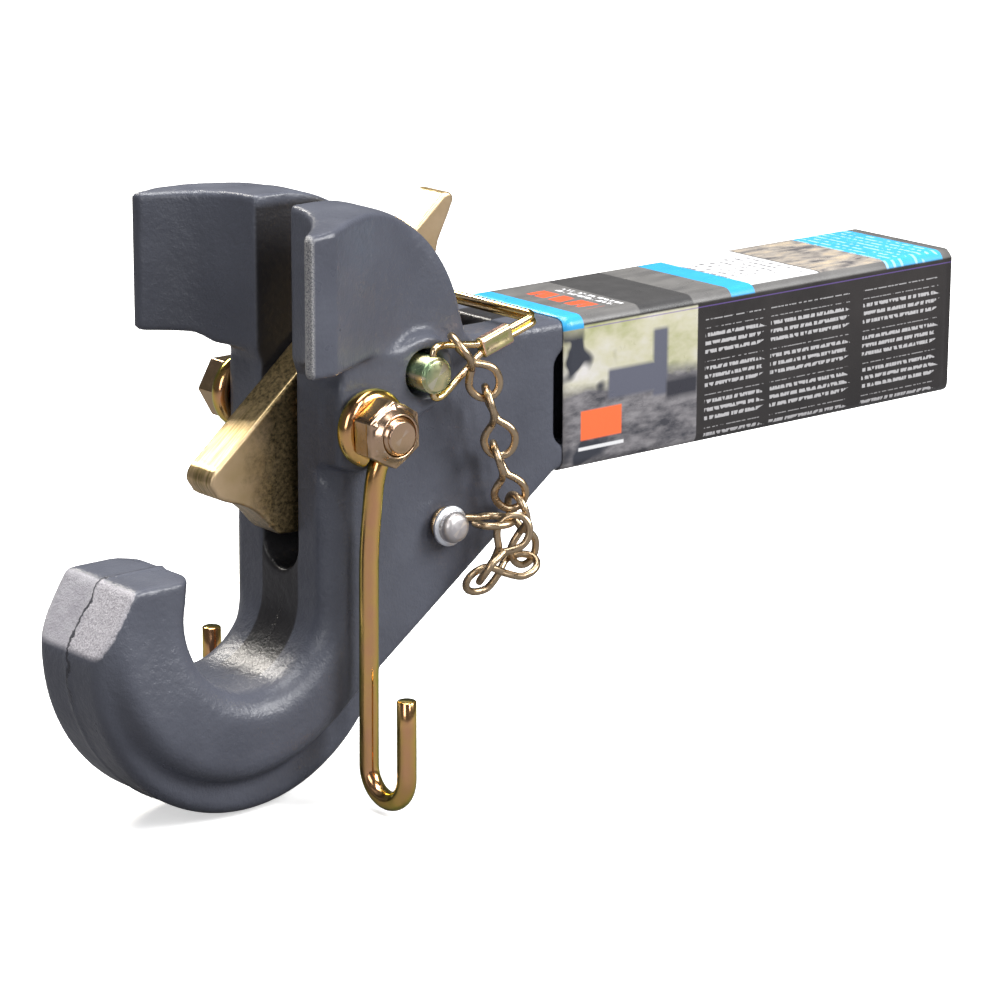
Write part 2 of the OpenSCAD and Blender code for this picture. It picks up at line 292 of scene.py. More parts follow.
def tube(path, r, sides=20, closed=False, end_round=0.3):
    """Vertices and faces of round wire along a path of points."""
    path = [np.array(p, float) for p in path]
    n = len(path)
    radii = [r] * n
    if not closed:
        # a small chamfer at each cut end
        first = path[0] + (path[1] - path[0]) / np.linalg.norm(path[1] - path[0]) * end_round
        last = path[-1] + (path[-2] - path[-1]) / np.linalg.norm(path[-2] - path[-1]) * end_round
        path = [path[0], first] + path[1:-1] + [last, path[-1]]
        n = len(path)
        radii = [r - end_round] + [r] * (n - 2) + [r - end_round]
    tangents = []
    for i in range(n):
        a = path[i - 1] if closed or i else path[0]
        b = path[(i + 1) % n] if closed or i < n - 1 else path[-1]
        tangents.append((b - a) / np.linalg.norm(b - a))
    side = np.cross(tangents[0], (0.3, 0.5, 0.81))
    side /= np.linalg.norm(side)
    sides_list = []
    for t in tangents:
        side = side - t * np.dot(side, t)
        side /= np.linalg.norm(side)
        sides_list.append(side.copy())
    if closed:
        # spread the leftover twist round the ring
        t = tangents[0]
        last = sides_list[-1] - t * np.dot(sides_list[-1], t)
        twist = math.atan2(np.dot(np.cross(sides_list[0], last), t), np.dot(sides_list[0], last))
    else:
        twist = 0
    points = []
    for i, (p, t, s) in enumerate(zip(path, tangents, sides_list)):
        other = np.cross(t, s)
        for k in range(sides):
            a = 2 * math.pi * k / sides - twist * i / n
            points.append(p + radii[i] * (math.cos(a) * s + math.sin(a) * other))
    return points, skin(n, sides, closed)


def ring_points(middle, r, y, angles):
    """Points round a circle in X and Z, at the angles given in degrees."""
    return [(middle[0] + r * math.cos(math.radians(a)), y, middle[1] + r * math.sin(math.radians(a)))
            for a in angles]


def lathe(profile, middle, sides=72):
    """Solid of revolution about Y: profile is (distance along Y, radius), from end to end."""
    angles = [360 * k / sides for k in range(sides)]
    points = [point for y, r in profile for point in ring_points(middle, r, y, angles)]
    faces = [face[::-1] for face in skin(len(profile), sides)]
    # a profile that returns to its start needs no caps
    return points, faces[:-2] if profile[0] == profile[-1] else faces


BEND_STEPS = 7


def bow(points, spacing, reach):
    """A path with every inner corner turned into a curve that starts reach before it."""
    points = [np.array(p, float) for p in points]
    out = [points[0]]
    for a, b, c in zip(points, points[1:], points[2:]):
        before, after = np.linalg.norm(a - b), np.linalg.norm(c - b)
        start = b + (a - b) * min(reach, before * 0.48) / before
        end = b + (c - b) * min(reach, after * 0.48) / after
        for t in np.arange(BEND_STEPS + 1) / BEND_STEPS:
            out.append((1 - t) ** 2 * start + 2 * t * (1 - t) * b + t * t * end)
    out.append(points[-1])
    filled = [out[0]]
    for a, b in zip(out, out[1:]):
        parts = max(1, int(np.linalg.norm(b - a) / spacing))
        filled += [a + (b - a) * (i + 1) / parts for i in range(parts)]
    return filled


# ---- shaders
class Nodes:
    """Small helper that builds one node material."""

    def __init__(self, name):
        self.material = bpy.data.materials.new(name)
        self.material.use_nodes = True
        self.tree = self.material.node_tree
        self.shader = self.tree.nodes["Principled BSDF"]
        self.place = self.add("ShaderNodeTexCoord").outputs["Object"]

    def add(self, kind, **settings):
        node = self.tree.nodes.new(kind)
        for key, value in settings.items():
            setattr(node, key, value)
        return node

    def link(self, out, socket):
        self.tree.links.new(out, socket)

    def feed(self, value, socket):
        if hasattr(value, "is_output"):
            self.link(value, socket)
        else:
            socket.default_value = value

    def math(self, how, a, b=0.0, clamp=False):
        node = self.add("ShaderNodeMath", operation=how, use_clamp=clamp)
        self.feed(a, node.inputs[0])
        self.feed(b, node.inputs[1])
        return node.outputs[0]

    def times(self, first, *others):
        for other in others:
            first = self.math("MULTIPLY", first, other)
        return first

    def noise(self, scale, detail=3.0, rough=0.55, stretch=None):
        node = self.add("ShaderNodeTexNoise")
        node.inputs["Scale"].default_value = scale
        node.inputs["Detail"].default_value = detail
        node.inputs["Roughness"].default_value = rough
        source = self.place
        if stretch:
            mapping = self.add("ShaderNodeMapping")
            mapping.inputs["Scale"].default_value = stretch
            self.link(source, mapping.inputs["Vector"])
            source = mapping.outputs["Vector"]
        self.link(source, node.inputs["Vector"])
        return node.outputs["Fac"]

    def ramp(self, value, stops):
        node = self.add("ShaderNodeValToRGB")
        elements = node.color_ramp.elements
        while len(elements) < len(stops):
            elements.new(0.5)
        for element, (at, colour) in zip(elements, stops):
            element.position = at
            element.color = (*colour, 1)
        self.link(value, node.inputs["Fac"])
        return node.outputs["Color"]

    def level(self, value, low, high, out_low=0.0, out_high=1.0):
        """A straight ramp from one range to another, held at its ends."""
        node = self.add("ShaderNodeMapRange")
        names = ("From Min", "From Max", "To Min", "To Max")
        for name, number in zip(names, (low, high, out_low, out_high)):
            node.inputs[name].default_value = number
        self.link(value, node.inputs["Value"])
        return node.outputs["Result"]

    def mix(self, factor, a, b):
        node = self.add("ShaderNodeMix", data_type="RGBA")
        self.feed(factor, node.inputs[0])
        for value, socket in ((a, node.inputs[6]), (b, node.inputs[7])):
            if isinstance(value, tuple):
                socket.default_value = (*value, 1)
            else:
                self.link(value, socket)
        return node.outputs[2]

    def axes(self):
        node = self.add("ShaderNodeSeparateXYZ")
        self.link(self.place, node.inputs[0])
        return node.outputs

    def bump(self, height, strength, distance, before=None):
        node = self.add("ShaderNodeBump")
        node.inputs["Strength"].default_value = strength
        node.inputs["Distance"].default_value = distance
        self.link(height, node.inputs["Height"])
        if before:
            self.link(before, node.inputs["Normal"])
        return node.outputs["Normal"]

    def edges(self, low=0.56, high=0.64):
        """How sharply the surface turns outwards here, 0 on a flat."""
        geometry = self.add("ShaderNodeNewGeometry")
        return self.level(geometry.outputs["Pointiness"], low, high)

    def finish(self, colour, roughness, metallic=0.0, normal=None, **fixed):
        self.feed(colour, self.shader.inputs["Base Color"])
        self.feed(roughness, self.shader.inputs["Roughness"])
        self.feed(metallic, self.shader.inputs["Metallic"])
        if normal:
            self.link(normal, self.shader.inputs["Normal"])
        for name, value in fixed.items():
            self.shader.inputs[name.replace("_", " ")].default_value = value
        return self.material


def between(n, value, low, high, soft=0.0002):
    """1 where value lies between low and high, with soft sides."""
    return n.times(n.level(value, low - soft, low + soft), n.level(value, high + soft, high - soft))


def box(n, first, second):
    """1 where both values are in range; each is given as (value, low, high, softness)."""
    return n.times(between(n, *first), between(n, *second))


def near_zero(n, value, full, gone):
    """1 where value is within full of zero, fading to 0 at gone."""
    return n.level(n.math("ABSOLUTE", value), gone, full)


def bare_facet(n, x, z):
    """Where the paint is worn off the flat on the front of the horn."""
    (ax, az), (bx, bz) = [(p[0] * MM, p[1] * MM) for p in (FACET_A, FACET_B)]
    length = math.hypot(bx - ax, bz - az)
    nx, nz = (bz - az) / length, -(bx - ax) / length
    along_x = n.times(n.math("SUBTRACT", x, ax), nx)
    along_z = n.times(n.math("SUBTRACT", z, az), nz)
    depth = n.math("ABSOLUTE", n.math("ADD", along_x, along_z))
    ragged = n.level(n.noise(500, 4, 0.7), 0.3, 0.7, -0.0002, 0.0003)
    facet = n.level(n.math("ADD", depth, ragged), 0.0009, 0.0004)
    return n.times(facet, n.level(z, bz + 0.0005, bz + 0.0025), n.level(x, -0.281, -0.2835))


def cast_cracks(n, x, y, z):
    """Parting lines on the horn's front and over its tip, and a crack at the throat's foot."""
    wander = n.level(n.noise(120, 4, 0.65), 0.25, 0.75, -0.0022, 0.0022)
    line = near_zero(n, n.math("SUBTRACT", y, wander), 0.00035, 0.00075)
    line = n.times(line, n.level(x, -0.281, -0.285), n.level(z, -0.082, -0.066))
    tip = near_zero(n, y, 0.0001, 0.0005)
    tip = n.times(tip, n.level(z, TIP_Z * MM - 0.003, TIP_Z * MM - 0.001))
    tip = n.times(tip, n.level(x, -0.255, -0.26), 0.5)
    wander = n.level(n.noise(260, 4, 0.7), 0.3, 0.7, -0.0018, 0.0018)
    throat = near_zero(n, n.math("SUBTRACT", y, wander), 0.00015, 0.0005)
    throat = n.times(throat, between(n, x, -0.226, -0.2165), between(n, z, -0.073, -0.058, 0.003))
    return n.math("MAXIMUM", n.math("MAXIMUM", line, tip), n.times(throat, 0.9))


def casting_paint():
    """Dark paint over a cast skin, with a bare facet, fine cracks, worn edges and painted shade in
    the slot.
    """
    n = Nodes("casting_paint")
    x, y, z = n.axes()
    colour = n.ramp(n.noise(28, 3), [(0.3, (0.064, 0.068, 0.087)), (0.7, (0.088, 0.094, 0.118))])
    facet = bare_facet(n, x, z)
    grain = n.noise(1400, 4, 0.7)
    coarse = n.ramp(grain, [(0.35, (0.24, 0.23, 0.25)), (0.6, (0.46, 0.44, 0.47))])
    plain = n.ramp(n.noise(90, 3), [(0.3, (0.27, 0.26, 0.29)), (0.7, (0.38, 0.37, 0.40))])
    near_half = n.level(y, 0.0005, -0.0005)
    colour = n.mix(facet, colour, n.mix(near_half, plain, coarse))
    crack = cast_cracks(n, x, y, z)
    colour = n.mix(crack, colour, (0.035, 0.036, 0.045))
    # worn, lighter sharp edges and the rough strip down the near lip
    edge = n.times(n.edges(), n.level(n.noise(420, 3), 0.45, 0.62), 0.45)
    colour = n.mix(edge, colour, (0.42, 0.42, 0.46))
    lip = n.times(n.level(x, -0.2380, -0.2392), n.level(y, -0.0428, -0.0436))
    lip = n.times(lip, n.level(n.noise(2300, 3, 0.7), 0.40, 0.58))
    colour = n.mix(n.times(lip, 0.8), colour, (0.46, 0.45, 0.44))
    # painted shade in the slot: near-black within the slot's width, from behind the lips to the
    # shank's end
    painted_slot_shade = n.times(n.level(x, -0.2375, -0.230), near_zero(n, y, 0.0092, 0.0098))
    painted_slot_shade = n.times(painted_slot_shade, n.level(z, 0.0715, 0.069))
    colour = n.mix(n.times(painted_slot_shade, 0.85), colour, (0.016, 0.014, 0.013))
    rough = n.level(n.noise(70, 3), 0.3, 0.7, 0.27, 0.40)
    rough = n.math("ADD", rough, n.times(facet, 0.3), clamp=True)
    # sand-cast skin under the paint, coarser where it is bare
    normal = n.bump(n.noise(420, 4, 0.6), 0.6, 0.0005)
    normal = n.bump(n.noise(1300, 2, 0.5), 0.3, 0.0002, normal)
    normal = n.bump(n.noise(75, 2), 0.2, 0.0018, normal)
    normal = n.bump(n.times(grain, n.math("ADD", facet, lip)), 0.5, 0.0005, normal)
    normal = n.bump(n.times(crack, -1.0), 0.6, 0.0006, normal)
    return n.finish(colour, rough, 0.0, normal, IOR=1.5)


def plated(name, centre, rim, film, roughness, scratch=0.1):
    """Zinc plating: its colour drifts with thickness and towards grazing angles, with painted
    highlights on sharp edges.
    """
    n = Nodes(name)
    facing = n.add("ShaderNodeLayerWeight").outputs["Facing"]
    drift = n.level(n.noise(55, 3, 0.6), 0.3, 0.7, -0.22, 0.22)
    shade = n.math("ADD", facing, drift, clamp=True)
    colour = n.ramp(shade, [(0.0, centre), (0.42, film), (0.62, rim), (1.0, rim)])
    # painted highlight: a pale warm colour on sharp convex edges
    colour = n.mix(n.times(n.edges(), 0.5), colour, (0.95, 0.86, 0.76))
    rough = n.level(n.noise(500, 3, 0.6), 0.3, 0.7, roughness * 0.8, roughness * 1.25)
    normal = n.bump(n.noise(350, 4, 0.6), scratch, 0.0003)
    return n.finish(colour, rough, 1.0, normal)


def latch_finish():
    """Satin zinc on the latch, streaked along its top, mottled dark towards its slot, with painted
    highlights on its sharp edges.
    """
    n = Nodes("latch_zinc")
    x, y, z = n.axes()
    fine = n.noise(2200, 3, 0.6)
    streak = n.noise(1, 3, 0.6, stretch=(55, 900, 55))
    satin = n.ramp(n.noise(60, 3), [(0.3, (0.60, 0.44, 0.24)), (0.7, (0.80, 0.60, 0.38))])
    streaky = n.ramp(streak, [(0.36, (0.36, 0.27, 0.11)), (0.62, (0.72, 0.53, 0.29))])
    satin = n.mix(near_zero(n, y, 0.0060, 0.0066), satin, streaky)
    # darker mottled brown just ahead of the neck, following its vertical edge, below about z 20 to
    # 30 mm
    wander = n.level(n.noise(160, 4, 0.65), 0.3, 0.7, -0.004, 0.004)
    band = n.times(n.level(n.math("ADD", x, wander), -0.236, -0.224), n.level(z, 0.030, 0.020))
    mottle = n.noise(700, 4, 0.7)
    brown = n.ramp(mottle, [(0.36, (0.10, 0.075, 0.035)), (0.66, (0.46, 0.34, 0.17))])
    colour = n.mix(band, satin, brown)
    # painted highlight: pale bright lines on the sharp convex edges
    colour = n.mix(n.times(n.edges(), 0.85), colour, (0.98, 0.86, 0.78))
    rough = n.level(fine, 0.3, 0.7, 0.30, 0.42)
    normal = n.bump(fine, 0.12, 0.0002)
    normal = n.bump(n.noise(110, 2), 0.12, 0.0008, normal)
    return n.finish(colour, rough, 0.92, normal)


BLUE = (0.035, 0.33, 0.64)


def repeat(n, value, pitch, shift=0.0):
    """How far value is through each pitch, from 0 to 1."""
    return n.math("FRACT", n.times(n.math("ADD", value, shift), 1 / pitch))


def specks(n, stretch, *levels):
    """Letter-sized marks without meaning, in cells stretched along the printed lines."""
    return n.level(n.noise(1, 0.0, 0.5, stretch=stretch), *levels)


def side_picture(n, u, z):
    """Pale field above, grey road and shapes below, with a plain tow arm in soft bars."""
    haze = n.noise(38, 4, 0.6, stretch=(1.0, 1.0, 1.6))
    field = n.ramp(haze, [(0.3, (0.30, 0.32, 0.12)), (0.5, (0.52, 0.50, 0.36)),
                          (0.7, (0.62, 0.60, 0.58))])
    road = n.ramp(n.noise(60, 4, 0.65, stretch=(1.0, 1.0, 2.5)),
                  [(0.35, (0.05, 0.05, 0.06)), (0.55, (0.22, 0.21, 0.22)),
                   (0.75, (0.32, 0.31, 0.32))])
    horizon = n.math("ADD", z, n.level(haze, 0.3, 0.7, -0.003, 0.003))
    picture = n.mix(n.level(horizon, -0.001, 0.004), road, field)
    left = n.times(between(n, u, -0.01, 0.020, 0.004), n.level(z, 0.024, 0.018))
    shapes = n.times(n.level(n.noise(55, 2, 0.4), 0.52, 0.56), left)
    picture = n.mix(shapes, picture, (0.035, 0.038, 0.05))
    arm = box(n, (u, 0.020, 0.043, 0.0008), (z, -0.004, 0.006, 0.0008))
    post = box(n, (u, 0.040, 0.0465, 0.0008), (z, -0.006, 0.017, 0.0008))
    picture = n.mix(n.math("MAXIMUM", arm, post), picture, (0.11, 0.115, 0.15))
    tow = box(n, (u, 0.046, 0.060, 0.0008), (z, -0.008, -0.001, 0.0015))
    picture = n.mix(tow, picture, (0.035, 0.035, 0.045))
    block = box(n, (u, 0.008, 0.026, 0.0003), (z, -0.0165, -0.0065, 0.0003))
    picture = n.mix(block, picture, (0.90, 0.16, 0.05))
    rule = box(n, (u, 0.007, 0.027, 0.0003), (z, -0.0200, -0.0188, 0.0002))
    return n.mix(rule, picture, (0.75, 0.75, 0.76))


def side_columns(n, u, z):
    """Three columns of short light bars in groups of rows, ragged at their right."""
    row = repeat(n, z, 0.0029, 0.1)
    bar = n.times(n.level(row, 0.20, 0.28), n.level(row, 0.72, 0.64))
    bar = n.times(bar, n.level(repeat(n, z, 0.0116, 0.10065), 0.90, 0.87))
    bar = n.times(bar, specks(n, (780, 1, 345), 0.40, 0.46))
    ragged = n.math("SUBTRACT", u, specks(n, (1, 1, 345), 0.3, 0.7, -0.004, 0.002))
    columns = 0.0
    for start, end in ((0.0635, 0.091), (0.094, 0.132), (0.1385, 0.176)):
        one = n.times(n.level(u, start, start + 0.0003), n.level(ragged, end, end - 0.0003))
        columns = n.math("MAXIMUM", columns, one)
    return n.times(bar, columns, n.level(z, 0.0172, 0.0168))


def side_print(n, u, z):
    colour = n.ramp(n.noise(30, 3), [(0.3, (0.020, 0.018, 0.018)), (0.7, (0.035, 0.031, 0.030))])
    in_picture = n.times(n.level(u, 0.0602, 0.0598), n.level(z, 0.0228, 0.0222))
    colour = n.mix(in_picture, colour, side_picture(n, u, z))
    colour = n.mix(n.times(side_columns(n, u, z), 0.7), colour, (0.62, 0.61, 0.62))
    purple = n.times(between(n, z, 0.0214, 0.0218, 0.0001), n.level(u, 0.008, 0.012))
    colour = n.mix(n.times(purple, 0.6), colour, (0.16, 0.10, 0.34))
    return n.mix(n.times(n.level(u, 0.0092, 0.0088), n.level(z, 0.0215, 0.0219)), colour, BLUE)


def white_panel(n, u, y):
    """White card with rows of small marks and a hollow frame."""
    marks = n.times(n.level(repeat(n, u, 0.0040), 0.50, 0.60), specks(n, (250, 700, 1), 0.46, 0.50))
    marks = n.times(marks, between(n, y, -0.013, 0.012, 0.0003))
    outer = box(n, (u, 0.105, 0.1145, 0.0002), (y, -0.0205, -0.0145, 0.0002))
    hollow = box(n, (u, 0.1057, 0.1138, 0.0002), (y, -0.0198, -0.0152, 0.0002))
    marks = n.math("MAXIMUM", marks, n.math("SUBTRACT", outer, hollow, clamp=True))
    return n.mix(n.times(marks, 0.8), (0.74, 0.74, 0.75), (0.09, 0.09, 0.10))


def top_print(n, u, y):
    """From the hook's end: dark wrap, blue strip, white panel, picture, blue panel."""
    sheen = n.ramp(n.noise(40, 3, 0.5, stretch=(1, 3, 1)),
                   [(0.3, (0.10, 0.098, 0.098)), (0.7, (0.17, 0.165, 0.16))])
    colour = n.mix(between(n, u, 0.034, 0.058, 0.0003), sheen, (0.055, 0.054, 0.055))
    red = box(n, (u, 0.016, 0.024, 0.0004), (y, -0.019, 0.012, 0.0004))
    red = n.times(red, specks(n, (30, 260, 1), 0.42, 0.46))
    colour = n.mix(red, colour, (0.75, 0.10, 0.04))
    lines = box(n, (u, 0.0265, 0.0325, 0.0003), (y, -0.020, 0.010, 0.0003))
    lines = n.times(lines, n.level(repeat(n, u, 0.0032), 0.35, 0.45))
    lines = n.times(lines, specks(n, (300, 600, 1), 0.44, 0.48))
    colour = n.mix(lines, colour, (0.68, 0.68, 0.70))
    colour = n.mix(n.level(u, 0.0092, 0.0088), colour, BLUE)
    near_edge = n.level(y, 0.0225, 0.0220)
    colour = n.mix(n.times(between(n, u, 0.0755, 0.0865), near_edge), colour, BLUE)
    inner = n.times(near_edge, n.level(y, -0.0240, -0.0235))
    colour = n.mix(n.times(between(n, u, 0.0865, 0.1185), inner), colour, white_panel(n, u, y))
    picture = n.ramp(n.noise(75, 4, 0.6, stretch=(1, 2.2, 1)),
                     [(0.35, (0.10, 0.095, 0.10)), (0.5, (0.30, 0.27, 0.24)),
                      (0.65, (0.46, 0.38, 0.28))])
    colour = n.mix(n.times(between(n, u, 0.1195, 0.150), inner), colour, picture)
    rows = n.times(n.level(repeat(n, u, 0.0036), 0.6, 0.7), specks(n, (280, 500, 1), 0.45, 0.50))
    panel = n.mix(n.times(rows, 0.45), (0.05, 0.36, 0.66), (0.6, 0.72, 0.85))
    return n.mix(between(n, u, 0.150, 0.178), colour, panel)


def card_print():
    """Gloss card with plain printed panels: nothing on it reads as a word or a mark."""
    n = Nodes("printed_card")
    x, y, z = n.axes()
    u = n.math("SUBTRACT", x, SLEEVE_LOW[0] * MM)
    top = SLEEVE_HIGH[2] * MM - 0.0025
    colour = n.mix(n.level(z, top - 0.0006, top), side_print(n, u, z), top_print(n, u, y))
    rough = n.level(n.noise(180, 3), 0.3, 0.7, 0.26, 0.40)
    normal = n.bump(n.noise(26, 2), 0.15, 0.002)
    normal = n.bump(n.noise(900, 3), 0.08, 0.0002, normal)
    return n.finish(colour, rough, 0.0, normal, IOR=1.48)


PAINT = casting_paint()
LATCH_ZINC = latch_finish()
CARD = card_print()
# straight on, at grazing angles and in between, then the roughness
ROD_ZINC = plated("yellow_zinc", (0.88, 0.47, 0.24), (0.62, 0.56, 0.10), (0.92, 0.62, 0.16), 0.17)
WIRE_ZINC = plated("wire_zinc", (0.92, 0.66, 0.48), (0.74, 0.52, 0.12), (0.92, 0.68, 0.30), 0.20)
FERRULE_ZINC = plated("ferrule_zinc", (0.90, 0.60, 0.50), (0.86, 0.56, 0.46), (0.62, 0.62, 0.24),
                      0.30, scratch=0.04)
PIN_ZINC = plated("pin_zinc", (0.30, 0.42, 0.24), (0.26, 0.40, 0.22), (0.92, 0.82, 0.46),
                  0.30, scratch=0.03)
NUT_ZINC = plated("bolt_zinc", (0.74, 0.50, 0.36), (0.60, 0.42, 0.22), (0.68, 0.47, 0.29),
                  0.22, scratch=0.03)
LINK_ZINC = plated("chain_bronze", (0.60, 0.45, 0.29), (0.42, 0.31, 0.17), (0.54, 0.40, 0.25),
                   0.30, scratch=0.2)
RIVET_STEEL = plated("rivet_steel", (0.74, 0.71, 0.72), (0.60, 0.57, 0.56), (0.66, 0.63, 0.63),
                     0.42, scratch=0.25)
WASHER_ZINC = plated("washer_zinc", (0.90, 0.94, 1.0), (0.84, 0.88, 0.95), (0.88, 0.92, 0.98), 0.42)


# ---- the casting
def mirrored(points):
    return points + [(x, -y) for x, y in reversed(points)]


def flat(outline):
    """A field in X and Z, ready to meet one in Y."""
    return outline[:, None, :]


def from_side(x, y, z):
    """Distance from the middle, then X and Z as one sheet."""
    return np.abs(y), x[:, 0, :], z[:, 0, :]


def bar_field(x, y, z, inner):
    """The web below the head, the neck in front of it and the square shank."""
    side, x2, z2 = from_side(x, y, z)
    web = polygon(x2, z2, [(-240, SHANK_HALF), (-60, SHANK_HALF), (-60, -SHANK_HALF),
                           (-121.4, -SHANK_HALF), (-203.6, -85.5), (-240, -112)])
    back = np.maximum(circle(x2, z2, BACK_C, BACK_R), 18 - z2)
    web = smooth_min(web, back, 11)
    neck = round_both(flat(web), side - SHANK_HALF, 3.2)
    front = np.maximum(inner, WALL_X - x)
    near_front = round_both(front, side - SHANK_HALF, 9)
    far_front = round_both(front, side - SHANK_HALF, 5)
    neck = np.maximum(neck, np.where(y < 0, near_front, far_front))
    shank = np.maximum(np.maximum(z - SHANK_HALF, -SHANK_HALF - z), -150 - x)
    shank = round_both(shank, side - SHANK_HALF, 3.5)
    return np.where(x > -150, smooth_min(neck, np.maximum(shank, -130 - x), 0.5), neck)


def hook_field(x, y, z, inner):
    """Full-width hook, its narrower rim, and the horn that narrows to its tip."""
    side, x2, z2 = from_side(x, y, z)
    tip_half = 19
    half = SHANK_HALF - (SHANK_HALF - tip_half) * ramp(z, -88, TIP_Z) * ramp(x, -235, -262)
    body = round_both(flat(circle(x2, z2, BODY_C, BODY_R)), side - half, 7.5)
    body = np.maximum(body, round_both(inner, side - half, 9.5))
    rim = round_both(flat(circle(x2, z2, RIM_C, RIM_R)), side - 17.5, 5)
    hook = smooth_min(body, np.maximum(rim, inner + 6), 3.5)
    hook = np.maximum(hook, x + 186)
    tip_front = polygon(x2, z2, [(-286, 0), FACET_A, FACET_B, (-340, -60), (-340, 0)])
    hook = smooth_max(hook, flat(-tip_front), 0.8)
    return np.where(x < -245, smooth_max(hook, z - TIP_Z, 2.2), hook)


def head_field(x, y, z):
    """The head, cupped in plan, between its crowned top and its underside."""
    side, x2, z2 = from_side(x, y, z)
    plan = polygon(x[:, :, 0], y[:, :, 0], mirrored([
        (LIP_X, -HEAD_HALF), (-230, -HEAD_HALF), (-204, -33), (-184, -25.6), (-160, -25.4)]))
    cup = circle(x[:, :, 0], y[:, :, 0], (WALL_X - CUP_R, 0), CUP_R)
    plan = smooth_max(plan, -cup, 1.2)[:, :, None]
    crown = HEAD_TOP - HEAD_CROWN * ramp(x2, -218, -240)
    over = np.where(x2 < BACK_C[0], z2 - crown, circle(x2, z2, BACK_C, HEAD_TOP - BACK_C[1]))
    under = HEAD_LOW - 3.2 * ramp(side, 36, 25) ** 2 - z
    return round_both(plan, np.maximum(flat(over), under), 1.6)


def boss_field(x, y, z):
    """Bosses on both cheeks, round the pivot bolt and the lock pin."""
    side, x2, z2 = from_side(x, y, z)
    boss = smooth_min(circle(x2, z2, PIVOT, 15), circle(x2, z2, PIN_AT, 12), 6)
    bridge = polygon(x2, z2, [(-216, 25.5), (-216, -6), (PIVOT[0], -8), (-199, -6), (-177, 9),
                              (-179, 28)])
    boss = np.maximum(smooth_min(boss, bridge, 4), -216.8 - x2)
    return round_both(flat(boss), side - np.where(y < 0, NEAR_BOSS, FAR_BOSS), 2.2)


def add_cast_marks(solid, x, y, z):
    """Nicks beside the lock pin and on the web, and the flash where the moulds met."""
    x2, z2 = from_side(x, y, z)[1:]
    for cx, cz, lean in ((-192.8, 41.2, 0.9), (-170.9, -9.7, 0.12)):
        along = (x2 - cx) * math.cos(lean) + (z2 - cz) * math.sin(lean)
        across = -(x2 - cx) * math.sin(lean) + (z2 - cz) * math.cos(lean)
        nick = np.exp(-((along / 2.6) ** 2) - (across / 0.8) ** 2)
        solid = solid - flat(0.45 * nick) * (y < 0)
    return solid - 0.5 * np.exp(-((y / 0.9) ** 2)) * ramp(x, -225, -240)


def cut_openings(solid, x, y, z):
    """The latch's slot, the bores and the side pockets."""
    side, x2, z2 = from_side(x, y, z)
    slot = polygon(x2, z2, [(-260, SLOT_FOOT), (-200, SLOT_FOOT), (-165, -25), (-141, 8),
                            (-137, SHANK_HALF), (-137, 120), (-260, 120)])
    slot = np.maximum(flat(slot), side - SLOT_HALF)
    foot = np.hypot(y, z - SLOT_FOOT) - SLOT_HALF
    foot = np.maximum(foot, np.maximum(x + 200, -238 - x))
    solid = smooth_max(solid, -np.minimum(slot, foot), 1.6)
    solid = smooth_max(solid, -flat(circle(x2, z2, PIVOT, 7.2)), 1.0)
    pin_bore = flat(circle(x2, z2, PIN_AT, 6.7)) - 0.9 * ramp(side, 22, 26)
    solid = smooth_max(solid, -pin_bore, 1.6)
    solid = smooth_max(solid, -flat(circle(x2, z2, (0, 0), 8.3)), 0.8)
    pocket = round_both(np.abs(x2 + 92.8) - 30, np.abs(z2 + 1) - 16.4, 6)
    pocket = round_both(flat(pocket), 13.4 - side, 2)
    solid = smooth_max(solid, -pocket, 1.6)
    rivet_bore = np.maximum(flat(circle(x2, z2, RIVET_AT, 3.05)), y + 12)
    return np.maximum(solid, -rivet_bore)


def casting_field(x, y, z):
    side, x2, z2 = from_side(x, y, z)
    gap = polygon(x2, z2, [(WALL_X, THROAT_C[1]), (WALL_X, 200), (-262.5, 200),
                           (-262.5, TIP_Z), (THROAT_C[0] - THROAT_R, THROAT_C[1])])
    inner = flat(-np.minimum(circle(x2, z2, THROAT_C, THROAT_R), gap))
    solid = smooth_min(bar_field(x, y, z, inner), hook_field(x, y, z, inner), 2.5)
    solid = smooth_min(solid, head_field(x, y, z), 5)
    solid = smooth_min(solid, boss_field(x, y, z), 3.5)
    # the blends mustn't close the mouth again below the head
    solid = np.maximum(solid, np.where((z < 20) & (side < 27), inner, -9))
    solid = add_cast_marks(solid, x, y, z)
    solid = cut_openings(solid, x, y, z)
    return np.maximum(solid, x - (CAST_HIGH[0] - 0.2))


def make_casting():
    step = 0.9
    low, high = CAST_LOW - 2.5, CAST_HIGH + 2.5
    points, quads = surface(casting_field(*grid(low, high, step)), low, step)
    points = np.clip(points, CAST_LOW - (1, 1, 0.2), CAST_HIGH + (0, 1, 1.7))
    settle(new_object("cast_hook", points, quads, HOOK, "hook_casting", PAINT), 3)


